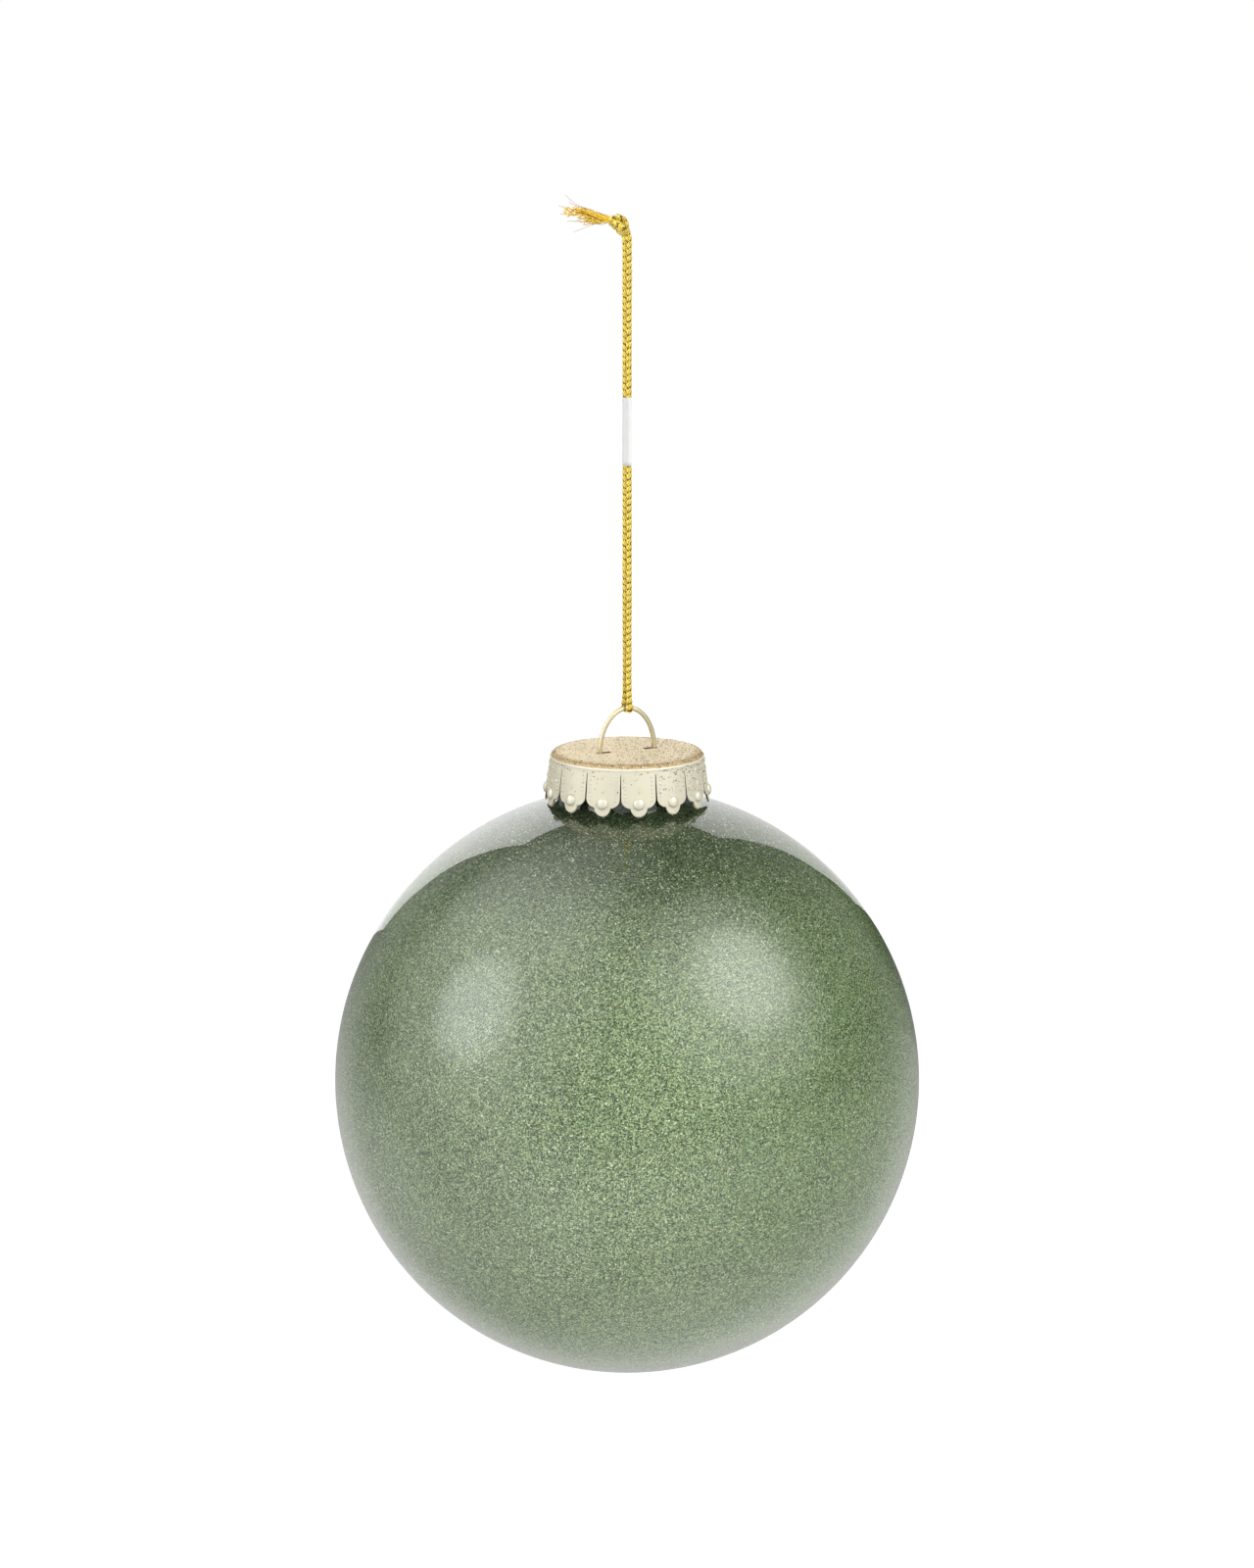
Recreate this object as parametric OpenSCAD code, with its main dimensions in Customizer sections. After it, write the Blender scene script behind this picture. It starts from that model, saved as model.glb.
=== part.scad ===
// Glass glitter bauble on a gold cord loop.
// Millimetres, +Z up. The origin is the top of the cord loop, just under its knot,
// where a twig or hook holds it. X lies in the plane of the hanger wire.

/* [Ball] */
// Outside diameter of the glass ball
ball_d = 100; // [90:1:110]
// Thickness of the glass
glass_t = 1; // [0.8:0.1:1.2]
// Thickness of the glitter layer on the inside of the glass
lining_t = 0.35; // [0.2:0.05:0.5]
// Outside diameter of the neck
neck_d = 23.4; // [22.8:0.1:23.6]
// Radius of the fillet between neck and ball
neck_fillet = 1.2; // [0.8:0.1:1.4]

/* [Cap] */
// Height of the cap's top above the crown of the ball
cap_rise = 7.2; // [7.1:0.1:7.6]
// Diameter of the cap at its top edge
cap_d = 25.8; // [25.6:0.1:26.4]
// Diameter of the skirt at the tips of its petals
skirt_d = 28.4; // [28:0.1:29]
// Thickness of the stamped sheet
sheet_t = 0.35; // [0.3:0.05:0.4]
// Radius of the rolled top edge
edge_r = 1; // [0.8:0.1:1.2]
// Number of petals round the skirt
petals = 14; // [12:1:14]
// Turn of the first petal from the wire's plane, in degrees
petal_turn = 16.7; // [0:0.1:25]
// Depth of a petal's shoulders below the top
petal_h = 7; // [6.6:0.1:7]
// Radius of a petal's lower corners
petal_corner_r = 1.4; // [1.1:0.1:1.5]
// Radius of the lobe at the foot of each petal
lobe_r = 1.4; // [1.2:0.1:1.4]
// Radius of the pearl embossed above each lobe
pearl_r = 1; // [0.8:0.1:1.1]
// Depth of the slits' upper ends below the top
slit_start = 1.5; // [1.3:0.1:2.5]
// Width of a slit at its upper end
slit_top_w = 0.12; // [0.1:0.02:0.2]
// Width of a slit at its lower end
slit_foot_w = 0.34; // [0.24:0.02:0.4]
// Width of the two slots that the wire's legs pass through
slot_w = 1.15; // [1.1:0.05:1.4]
// Distance from the middle of the cap to a slot's inner end
slot_in = 3; // [2.6:0.1:3.2]

/* [Hanger wire] */
// Diameter of the wire
wire_d = 0.9; // [0.8:0.05:0.9]
// Distance between the legs, centre to centre
leg_gap = 10.26; // [9.8:0.02:10.4]
// Height of the arch above the cap, to the wire's centre
arch_h = 7.25; // [7:0.05:7.5]
// Straight length at the crown of the arch
arch_flat = 1.1; // [0.9:0.1:1.4]
// Splay of each leg below the cap, in degrees from upright
leg_splay = 33; // [26:1:33]
// Depth of the legs' tips below the top of the cap
leg_reach = 22; // [16:1:24]

/* [Cord and band] */
// Diameter of the knitted cord
cord_d = 0.72; // [0.6:0.02:0.72]
// Height of the paper band round both runs of the cord
band_h = 11.2; // [8:0.1:14]
// Depth of the band's upper end below the origin
band_top = 25.8; // [20:0.1:30]
// Thickness of the paper
band_t = 0.08; // [0.06:0.02:0.14]

/* [Hidden] */
$fn = 128;
eps = 0.01;

// heights of the wire's crown, the cap's top and the ball's centre
wire_z = -77.5;
cap_z = wire_z - arch_h;
ball_z = cap_z - cap_rise - ball_d / 2;

// the cord's one route: down the front run, round under the wire, up the back run
cord_route = [
    [0.22, -0.30, 1.4], [0.22, -0.30, -1], [0.23, -0.29, -6], [0.22, -0.30, -12], [0.22, -0.30, -18],
    [0.22, -0.30, -25], [0.22, -0.30, -31], [0.22, -0.30, -38], [0.23, -0.30, -44], [0.23, -0.31, -50],
    [0.22, -0.33, -56], [0.20, -0.36, -62], [0.14, -0.42, -67], [0.07, -0.53, -71], [0.02, -0.72, -74.5],
    [0, -0.95, -77.5], [0, -0.67, -78.17], [0, 0, -78.45], [0, 0.67, -78.17], [0, 0.95, -77.5],
    [-0.02, 0.72, -74.5], [-0.07, 0.53, -71], [-0.14, 0.42, -67], [-0.20, 0.36, -62], [-0.22, 0.33, -56],
    [-0.23, 0.31, -50], [-0.22, 0.30, -44], [-0.22, 0.30, -38], [-0.22, 0.30, -31], [-0.22, 0.30, -25],
    [-0.22, 0.30, -18], [-0.23, 0.29, -12], [-0.22, 0.30, -6], [-0.22, 0.30, -1], [-0.22, 0.30, 1.4]
];
// the two cut ends beyond the knot
tail_routes = [
    [[-2.1, 1.1, 2.8], [-4.2, 2.1, 3.5], [-6.3, 3.1, 4.1], [-8.4, 4.2, 4.6]],
    [[-2.0, 1.0, 1.9], [-4.0, 2.2, 2.2], [-5.9, 3.3, 2.3], [-7.7, 4.4, 2.2]]
];
// lumps of the overhand knot: centre and radius
knot_lumps = [[[-0.3, 0.15, 0.9], 1.05], [[-0.6, 0.3, 2.2], 1.15], [[-1.7, 0.9, 2.4], 0.9]];
cord_sides = 8;
ring_step = 3 * cord_d;
run_offset = 0.372;
run_turn = -53.7;
band_fit = 0.02;

glass_gap = 0.05;
neck_r = neck_d / 2;
bore_r = neck_r - glass_t;
rim_gap = 0.15;
neck_top = ball_d / 2 + cap_rise - sheet_t - rim_gap;
lining_mouth_r = bore_r + 0.3;

skirt_h = petal_h + lobe_r - 0.02;
flare = atan((skirt_d - cap_d) / 2 / (skirt_h - edge_r));
half_pitch = skirt_d / 2 * sin(180 / petals);
pearl_z = -petal_h + 0.6;
slot_fit = 0.1;
slot_out = leg_gap / 2 + wire_d / 2 + slot_fit;

arch_r = (leg_gap - arch_flat) / 2;
bend_r = 3;
bend_z = -1;
// each splayed foot is a hair thinner than the wire and seats in the end of its bend
seat_step = 0.004;
seat_len = 0.05;

// The half of a 2D shape to the right of the axis, ready to revolve
module right_half() {
    intersection() {
        children();
        translate([0, -ball_d]) square([ball_d, 2 * ball_d]);
    }
}

// The fillet's cross-section: the corner between neck and ball, less a rolling circle that
// bites a hair into both, so that the fillet runs out inside them
module fillet_section() {
    cx = neck_r + neck_fillet;
    reach = ball_d / 2 + neck_fillet;
    cy = sqrt(reach * reach - cx * cx);
    touch = [cx, cy] * (ball_d / 2) / reach;
    difference() {
        polygon([[neck_r - glass_t / 2, cy], [cx, cy], touch, touch - [neck_fillet, glass_t / 2]]);
        translate([cx, cy]) circle(r = neck_fillet + 2 * eps);
    }
}

module glass_ball() {
    color([0.72, 0.82, 0.74, 0.4])
    translate([0, 0, ball_z]) {
        rotate_extrude()
        right_half() {
            difference() {
                union() {
                    circle(d = ball_d);
                    square([neck_r, neck_top - glass_t / 2]);
                    translate([neck_r - glass_t / 2, neck_top - glass_t / 2]) circle(d = glass_t);
                }
                circle(d = ball_d - 2 * glass_t);
                square([bore_r, neck_top - glass_t / 2]);
            }
        }
        rotate_extrude() fillet_section();
    }
}

module glitter_lining() {
    color([0.37, 0.5, 0.34])
    translate([0, 0, ball_z])
    rotate_extrude()
    right_half() {
        difference() {
            circle(r = ball_d / 2 - glass_t - glass_gap);
            circle(r = ball_d / 2 - glass_t - glass_gap - lining_t);
            square([lining_mouth_r, ball_d]);
        }
    }
}

// Radius of the skirt's outer face at a height below the cap's top
function skirt_r(z) = cap_d / 2 + (-z - edge_r) * tan(flare);

// Solid of revolution inside the cap's outer face, shrunk by inset all over
module cap_form(inset, foot) {
    c = [cap_d / 2 - edge_r, -edge_r];
    r = edge_r - inset;
    touch = c + r * [cos(flare), sin(flare)];
    foot_r = touch[0] + (touch[1] - foot) * tan(flare);
    rotate_extrude() {
        polygon([[0, -inset], [c[0], -inset], c, touch, [foot_r, foot], [0, foot]]);
        right_half() translate(c) circle(r = r);
    }
}

// The open shape between two petals: a slit that widens round corners and lobes
module petal_gap() {
    corner_x = slit_foot_w / 2 + petal_corner_r;
    corner_y = petal_corner_r - petal_h;
    polygon([
        [-slit_top_w / 2, -slit_start], [slit_top_w / 2, -slit_start],
        [slit_foot_w / 2, corner_y + eps], [slit_foot_w / 2, corner_y - eps],
        [-slit_foot_w / 2, corner_y - eps], [-slit_foot_w / 2, corner_y + eps]
    ]);
    difference() {
        translate([-half_pitch, -skirt_h - 1]) square([2 * half_pitch, skirt_h + 1 + corner_y]);
        for (side = [-1, 1]) {
            translate([side * corner_x, corner_y]) circle(r = petal_corner_r);
            translate([side * half_pitch, -petal_h]) circle(r = lobe_r);
            translate([side * (corner_x + half_pitch + 1) / 2, corner_y])
                square([half_pitch + 1 - corner_x, 2 * petal_corner_r], center = true);
        }
    }
}

// Places a shape on the skirt at each pearl, with its Z axis along the skirt's own outward axis
module at_pearls() {
    for (i = [0 : petals - 1])
        rotate([0, 0, petal_turn + i * 360 / petals])
        translate([skirt_r(pearl_z) - sheet_t, 0, pearl_z])
        rotate([0, 90 - flare, 0])
        children();
}

// A dome on a short straight foot that stands inside the sheet
module pearls() {
    foot_r = 0.9 * pearl_r;
    at_pearls()
    rotate_extrude()
    intersection() {
        translate([0, 0.3 * sheet_t]) square([foot_r, pearl_r]);
        circle(r = pearl_r, $fn = 48);
    }
}

// The hollow that the stamp leaves behind each pearl
module dimples() {
    at_pearls()
    translate([0, 0, -pearl_r])
    cylinder(r = pearl_r / 2, h = pearl_r + 0.55 * pearl_r, $fn = 48);
}

module cap() {
    color([0.88, 0.83, 0.69])
    translate([0, 0, cap_z])
    difference() {
        union() {
            cap_form(0, -skirt_h);
            pearls();
        }
        cap_form(sheet_t, -skirt_h - 1);
        dimples();
        for (i = [0 : petals - 1])
            rotate([0, 0, petal_turn + (i + 0.5) * 360 / petals])
            translate([cap_d / 2 - 2, 0, 0])
            rotate([90, 0, 90])
            linear_extrude(height = 5)
            petal_gap();
        for (side = [0, 180])
            rotate([0, 0, side])
            translate([slot_in, -slot_w / 2, -2 * sheet_t])
            cube([slot_out - slot_in, slot_w, 3 * sheet_t]);
    }
}

// A piece of bent wire in the XZ plane about its own centre, from one angle on
module wire_bend(r, start, turn) {
    rotate([90, 0, 0])
    rotate([0, 0, start])
    rotate_extrude(angle = turn)
    translate([r, 0]) circle(d = wire_d, $fn = 48);
}

module wire_half() {
    leg_x = leg_gap / 2;
    arch_z = arch_h - arch_r;
    foot = [leg_x + bend_r * (1 - cos(leg_splay)), bend_z - bend_r * sin(leg_splay)];
    foot_len = (leg_reach + foot[1]) / cos(leg_splay);
    foot_d = wire_d - seat_step;
    rotate([0, 90, 0]) translate([-arch_h, 0, 0]) cylinder(d = wire_d, h = arch_flat / 2, $fn = 48);
    translate([arch_flat / 2, 0, arch_z]) wire_bend(arch_r, 0, 90);
    translate([leg_x, 0, bend_z]) cylinder(d = wire_d, h = arch_z - bend_z, $fn = 48);
    translate([leg_x + bend_r, 0, bend_z]) wire_bend(bend_r, 180, leg_splay);
    translate([foot[0], 0, foot[1]])
    rotate([0, 180 - leg_splay, 0]) {
        translate([0, 0, -seat_len]) cylinder(d = foot_d, h = foot_len + seat_len, $fn = 48);
        translate([0, 0, foot_len]) sphere(d = foot_d, $fn = 48);
    }
}

module hanger_wire() {
    color([0.86, 0.81, 0.64])
    translate([0, 0, cap_z]) {
        wire_half();
        rotate([0, 0, 180]) wire_half();
    }
}

function unit(v) = v / norm(v);

// A point on the smooth curve through the route's points, t from 0 to 1 after point i
function spline(route, i, t) =
    let (
        last = len(route) - 1,
        a = route[max(i - 1, 0)], b = route[i], c = route[i + 1], d = route[min(i + 2, last)]
    )
    0.5 * (2 * b + (c - a) * t + (2 * a - 5 * b + 4 * c - d) * t * t + (3 * b - a - 3 * c + d) * t * t * t);

// The route with a ring's centre at least every ring_step
function centres(route) = [
    for (i = [0 : len(route) - 2])
        let (n = max(1, round(norm(route[i + 1] - route[i]) / ring_step)))
        for (k = [0 : n - 1]) spline(route, i, k / n),
    route[len(route) - 1]
];

// A round tube along a route, as one closed skin. The side vector is never along the route.
module tube(route, d, side) {
    c = centres(route);
    last = len(c) - 1;
    n = cord_sides;
    points = [
        for (i = [0 : last])
            let (
                t = unit(c[min(i + 1, last)] - c[max(i - 1, 0)]),
                u = unit(side - (side * t) * t),
                v = cross(t, u)
            )
            for (j = [0 : n - 1]) c[i] + d / 2 * (cos(360 * j / n) * u + sin(360 * j / n) * v)
    ];
    walls = [
        for (i = [0 : last - 1]) for (j = [0 : n - 1])
            let (a = i * n + j, b = i * n + (j + 1) % n)
            each [[a, a + n, b + n], [a, b + n, b]]
    ];
    first_end = [for (j = [1 : n - 2]) [0, j, j + 1]];
    last_end = [for (j = [1 : n - 2]) [last * n, last * n + j + 1, last * n + j]];
    polyhedron(points = points, faces = concat(walls, first_end, last_end), convexity = 6);
}

module cord_loop() {
    color([0.84, 0.71, 0.2]) tube(cord_route, cord_d, [1, 0, 0]);
}

module cord_knot() {
    color([0.8, 0.66, 0.18])
    for (lump = knot_lumps)
        translate(lump[0]) sphere(r = lump[1], $fn = 48);
}

module cord_tails() {
    color([0.87, 0.74, 0.24])
    for (route = tail_routes) tube(route, cord_d, [0, 0, 1]);
}

// A flat oval round both runs of the cord
module run_oval(r) {
    for (side = [-1, 1]) translate([side * run_offset, 0]) circle(r = r, $fn = 48);
    square([2 * run_offset, 2 * r], center = true);
}

module paper_band() {
    inner_r = cord_d / 2 + band_fit;
    color([0.94, 0.94, 0.93])
    translate([0, 0, -band_top - band_h])
    rotate([0, 0, run_turn])
    linear_extrude(height = band_h)
    difference() {
        run_oval(inner_r + band_t);
        run_oval(inner_r);
    }
}

glass_ball();
glitter_lining();
cap();
hanger_wire();
cord_loop();
cord_knot();
cord_tails();
paper_band();
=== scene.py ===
import random
from itertools import product
from math import acos, atan2, cos, degrees, exp, hypot, pi, radians, sin, sqrt, tan

import bmesh
import bpy
from mathutils import Matrix, Vector


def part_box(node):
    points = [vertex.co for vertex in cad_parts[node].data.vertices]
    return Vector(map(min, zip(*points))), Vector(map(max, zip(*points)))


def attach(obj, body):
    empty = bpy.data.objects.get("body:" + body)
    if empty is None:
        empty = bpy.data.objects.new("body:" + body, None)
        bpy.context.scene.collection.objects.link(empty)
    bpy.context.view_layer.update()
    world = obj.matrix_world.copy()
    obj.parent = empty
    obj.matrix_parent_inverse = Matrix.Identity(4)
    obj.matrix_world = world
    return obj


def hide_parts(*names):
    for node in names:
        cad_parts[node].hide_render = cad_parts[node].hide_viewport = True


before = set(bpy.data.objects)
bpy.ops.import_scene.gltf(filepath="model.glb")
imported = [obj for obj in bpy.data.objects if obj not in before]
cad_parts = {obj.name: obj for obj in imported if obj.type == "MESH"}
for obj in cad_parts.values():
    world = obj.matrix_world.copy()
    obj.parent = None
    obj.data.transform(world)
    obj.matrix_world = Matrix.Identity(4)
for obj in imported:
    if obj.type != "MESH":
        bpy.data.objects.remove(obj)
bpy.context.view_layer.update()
scene = bpy.context.scene
scene.view_settings.view_transform = "Standard"
mm = 0.001

# the photo's view: lens for a 36 mm high frame, place in mm, angles in degrees
photoView = {"lens": 67.5, "place": (-222.7, -429.6, 12.85), "pitch": 12.06, "azimuth": -27.4}


def turnZ(angle):
    return Matrix.Rotation(radians(angle), 3, "Z")


viewTurn = turnZ(photoView["azimuth"])


def fromView(right, away, up):
    # a point in metres from mm to the right, away from the camera and up
    return viewTurn @ Vector((right, away, up)) * mm


def linked(name, data):
    obj = bpy.data.objects.new(name, data)
    scene.collection.objects.link(obj)
    return obj


def makeCamera(spec):
    data = bpy.data.cameras.new("photoCamera")
    data.lens = spec["lens"]
    data.clip_start = 0.01
    camera = linked("photoCamera", data)
    camera.location = Vector(spec["place"]) * mm
    camera.rotation_euler = (radians(90 - spec["pitch"]), 0, radians(spec["azimuth"]))
    scene.camera = camera


makeCamera(photoView)
print("camera placed")


# small helpers for meshes and pieces

def newObject(name, bm, materials):
    mesh = asMesh(bm, name)
    mesh.shade_smooth()
    for material in materials:
        mesh.materials.append(material)
    return linked(name, mesh)


def addPiece(name, bm, materials, body, slot, *nodes):
    obj = newObject(name, bm, materials)
    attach(obj, body)
    if nodes:
        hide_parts(*nodes)
    print("made", name, len(obj.data.polygons), "faces")
    return obj


def polar(r, angle, z=0.0):
    return Vector((r * cos(angle), r * sin(angle), z))


def smoothRoute(points, step):
    # a curve through the points, with a point about every step
    route = []
    last = len(points) - 1
    for i in range(last):
        a, b, c, d = (points[min(max(k, 0), last)] for k in (i - 1, i, i + 1, i + 2))
        count = max(1, round((c - b).length / step))
        for k in range(count):
            t = k / count
            bend = (2 * a - 5 * b + 4 * c - d) * t ** 2 + (3 * b - a - 3 * c + d) * t ** 3
            route.append(0.5 * (2 * b + (c - a) * t + bend))
    return route + [points[last]]


def viewRoute(points, step):
    return smoothRoute([fromView(*point) for point in points], step * mm)


def stationsOf(route, start, carried=True):
    # distance, place, direction and side at each point; the side is carried along, or faces one way
    stations = []
    gone = 0.0
    side = start
    for i, place in enumerate(route):
        ahead = (route[min(i + 1, len(route) - 1)] - route[max(i - 1, 0)]).normalized()
        base = side if carried else start
        side = (base - ahead * base.dot(ahead)).normalized()
        if i:
            gone += (place - route[i - 1]).length
        stations.append((gone, place, ahead, side))
    return stations


def tubeMesh(routes, radii, sides=2):
    # tubes along routes, each with its own radius, as one mesh
    curve = bpy.data.curves.new("tubes", "CURVE")
    curve.dimensions = "3D"
    curve.bevel_depth = 1.0
    curve.bevel_resolution = sides
    curve.use_fill_caps = True
    for route, radius in zip(routes, radii):
        spline = curve.splines.new("POLY")
        spline.points.add(len(route) - 1)
        for i, place in enumerate(route):
            spline.points[i].co = (*place, 1)
            spline.points[i].radius = radius(i / (len(route) - 1)) if callable(radius) else radius
    holder = linked("tubes", curve)
    mesh = bpy.data.meshes.new_from_object(holder.evaluated_get(bpy.context.evaluated_depsgraph_get()))
    bpy.data.objects.remove(holder)
    bpy.data.curves.remove(curve)
    return mesh


def asMesh(bm, name="form"):
    mesh = bpy.data.meshes.new(name)
    bm.to_mesh(mesh)
    bm.free()
    return mesh


def copyForms(form, places):
    # one small form, repeated at every matrix of the list
    bm = bmesh.new()
    addMesh(bm, asMesh(form), 0)
    counts = [len(bm.verts), len(bm.edges), len(bm.faces)]
    have = 1
    while have < len(places):
        more = min(have, len(places) - have)
        parts = [list(seq)[:more * count] for seq, count in zip((bm.verts, bm.edges, bm.faces), counts)]
        bmesh.ops.duplicate(bm, geom=parts[0] + parts[1] + parts[2])
        have += more
    verts = list(bm.verts)
    for i, place in enumerate(places):
        for vert in verts[i * counts[0]:(i + 1) * counts[0]]:
            vert.co = place @ vert.co
    return bm


def addMesh(bm, mesh, slot):
    # a mesh joined into a bmesh, with its faces in one material slot
    known = len(bm.faces)
    bm.from_mesh(mesh)
    bm.faces.ensure_lookup_table()
    for face in bm.faces[known:]:
        face.material_index = slot
    bpy.data.meshes.remove(mesh)


# node helpers

def newMaterial(name):
    material = bpy.data.materials.new(name)
    material.use_nodes = True
    material.node_tree.nodes.clear()
    return material, material.node_tree


def addNode(tree, kind, settings=None, **inputs):
    # inputs by name, with _ for a space, or by number as in0, in1
    node = tree.nodes.new("ShaderNode" + kind)
    for key, value in (settings or {}).items():
        setattr(node, key, value)
    for key, value in inputs.items():
        byNumber = key.startswith("in") and key[2:].isdigit()
        socket = node.inputs[int(key[2:]) if byNumber else key.replace("_", " ")]
        if isinstance(value, bpy.types.NodeSocket):
            tree.links.new(value, socket)
        else:
            socket.default_value = value
    return node


def placeNode(tree):
    return addNode(tree, "TexCoord").outputs["Object"]


def noiseNode(tree, place, scale, detail, roughness=0.5):
    node = addNode(tree, "TexNoise", Vector=place, Scale=scale, Detail=detail, Roughness=roughness)
    return node.outputs["Fac"]


def bumpNode(tree, height, strength, distance):
    return addNode(tree, "Bump", Strength=strength, Distance=distance, Height=height).outputs[0]


def mapNode(tree, value, start, end, low, high, smooth=False):
    kind = {"interpolation_type": "SMOOTHSTEP" if smooth else "LINEAR"}
    node = addNode(
        tree, "MapRange", kind, Value=value, From_Min=start, From_Max=end, To_Min=low, To_Max=high,
    )
    return node.outputs[0]


def vectorNode(tree, operation, vector, **inputs):
    node = addNode(tree, "VectorMath", {"operation": operation}, in0=vector, **inputs)
    return node.outputs["Value" if operation == "DOT_PRODUCT" else "Vector"]


def mathNode(tree, operation, a, b=0.0):
    return addNode(tree, "Math", {"operation": operation}, in0=a, in1=b).outputs[0]


def asColour(value):
    return value if isinstance(value, bpy.types.NodeSocket) else (*value, 1)


def mixColour(tree, factor, a, b):
    mix = {"data_type": "RGBA"}
    return addNode(tree, "Mix", mix, in0=factor, in6=asColour(a), in7=asColour(b)).outputs[2]


def toneRamp(tree, factor, stops):
    # steps from one tone to the next
    node = addNode(tree, "ValToRGB", Fac=factor)
    ramp = node.color_ramp
    ramp.interpolation = "CONSTANT"
    while len(ramp.elements) < len(stops):
        ramp.elements.new(1.0)
    for element, (place, colour) in zip(ramp.elements, stops):
        element.position = place
        element.color = (*colour, 1)
    return node.outputs[0]


def finishMaterial(tree, shader):
    addNode(tree, "OutputMaterial", Surface=shader)


def finishPrincipled(tree, **inputs):
    finishMaterial(tree, addNode(tree, "BsdfPrincipled", **inputs).outputs[0])


# gold cord: chain-knit metallic thread

goldThread = {
    # bright and deep tone, metal and roughness of the strands and of the shade between them
    "strand": ((0.75, 0.595, 0.135), (0.44, 0.315, 0.028), 0.6, 0.36),
    "shade": ((0.12, 0.07, 0.006), (0.12, 0.07, 0.006), 0.4, 0.6),
    "grain": 2600.0,
}


def threadMaterial(name, bright, deep, metal, roughness):
    material, tree = newMaterial(name)
    grain = noiseNode(tree, placeNode(tree), goldThread["grain"], 3.0)
    tone = mixColour(tree, grain, deep, bright)
    gloss = mapNode(tree, grain, 0.0, 1.0, roughness - 0.08, roughness + 0.12)
    twist = bumpNode(tree, grain, 0.25, 0.00003)
    finishPrincipled(tree, Base_Color=tone, Roughness=gloss, Metallic=metal, Normal=twist)
    return material


goldMaterial = threadMaterial("goldThread", *goldThread["strand"])
shadeMaterial = threadMaterial("goldShade", *goldThread["shade"])

# the cord's route in mm, the same as in the part: down the front run, under the wire, up the back run
cordLoop = {
    "diameter": 0.95, "pitch": 1.07, "wales": 2, "core": 0.34, "legRise": 0.8,
    "grain": (1.18, 0.36, 0.4),  # length, width and thickness of one strand of a stitch's leg
    "strands": 0.27, "loose": (0.015, 4), "seed": 23,  # strands' distance; uneven by mm and degrees
    "faceTurn": (-45, 45),  # turn of the stitches on the front and the back run, degrees
    # wire's height, radius that moves in and where to, share left of the rest
    "bight": (-77.5, 0.45, 0.43, 0.12),
    "spread": (1.6, 0.45),  # over this height above the wire the flattened cord widens by this share
    "lean": (-1.5, 1.5, 0.4),  # from and to these heights both runs lean this far into the knot
    "route": [
        (0.22, -0.3, 1.4), (0.22, -0.3, -1), (0.23, -0.29, -6), (0.22, -0.3, -12), (0.22, -0.3, -18),
        (0.22, -0.3, -25), (0.22, -0.3, -31), (0.22, -0.3, -38), (0.23, -0.3, -44), (0.23, -0.31, -50),
        (0.22, -0.33, -56), (0.2, -0.36, -62), (0.14, -0.42, -67), (0.07, -0.53, -71), (0.02, -0.72, -74.5),
        (0, -0.95, -77.5), (0, -0.67, -78.17), (0, 0, -78.45), (0, 0.67, -78.17), (0, 0.95, -77.5),
        (-0.02, 0.72, -74.5), (-0.07, 0.53, -71), (-0.14, 0.42, -67), (-0.2, 0.36, -62), (-0.22, 0.33, -56),
        (-0.23, 0.31, -50), (-0.22, 0.3, -44), (-0.22, 0.3, -38), (-0.22, 0.3, -31), (-0.22, 0.3, -25),
        (-0.22, 0.3, -18), (-0.23, 0.29, -12), (-0.22, 0.3, -6), (-0.22, 0.3, -1), (-0.22, 0.3, 1.4),
    ],
}


def knitPlaces(stations, spec, turns):
    # where the strands of a knit cord lie: a stitch has two slanted legs, of two strands each
    draw = random.Random(spec["seed"])
    length, width, thick = (value * mm for value in spec["grain"])
    stray, sway = spec["loose"][0] * mm, radians(spec["loose"][1])
    pitch = spec["pitch"] * mm
    radius = spec["diameter"] * mm / 2 - thick / 2
    total = stations[-1][0]
    legArc = pi / spec["wales"]
    places = []
    i = 0
    for stitch in range(int(total / pitch)):
        gone = (stitch + 0.5) * pitch
        while stations[i + 1][0] < gone:
            i += 1
        place, ahead, side = stations[i][1:]
        across = ahead.cross(side)
        turn = radians(turns[int(2 * gone > total)])
        for wale, hand, strand in product(range(spec["wales"]), (-1, 1), (-0.5, 0.5)):
            angle = turn + 2 * legArc * wale + hand * legArc / 2
            out = side * cos(angle) + across * sin(angle)
            around = across * cos(angle) - side * sin(angle)
            along = (ahead * pitch * spec["legRise"] + around * hand * radius * legArc).normalized()
            beside = along.cross(out)
            lean = draw.gauss(0, sway)
            toward = along * cos(lean) + beside * sin(lean)
            axes = (out * thick / 2, toward.cross(out) * width / 2, toward * length / 2)
            centre = place + out * (radius + draw.gauss(0, stray))
            centre = centre + beside * strand * spec["strands"] * mm
            centre = Matrix.Translation(centre + along * draw.gauss(0, 2 * stray))
            places.append(centre @ Matrix(axes).transposed().to_4x4())
    return places


def knitMesh(places):
    grain = bmesh.new()
    bmesh.ops.create_uvsphere(grain, u_segments=6, v_segments=6, radius=1.0)
    return copyForms(grain, places)


def drawTight(bm, bight, spread):
    # the soft cord lies flat and wide round the wire
    level, inside, onWire, flat = bight
    high, wider = spread
    for vert in bm.verts:
        near = min(1, max(0, 1 - (vert.co.z / mm - level) / high))
        vert.co.x *= 1 + wider * near * near * (3 - 2 * near)
        y = vert.co.y / mm
        below = min(vert.co.z / mm - level, 0.0)
        r = hypot(y, below)
        if below and r > inside:
            scale = 1 + (below / r) ** 2 * ((onWire + (r - inside) * flat) / r - 1)
            vert.co.y *= scale
            vert.co.z += below * (scale - 1) * mm


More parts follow.
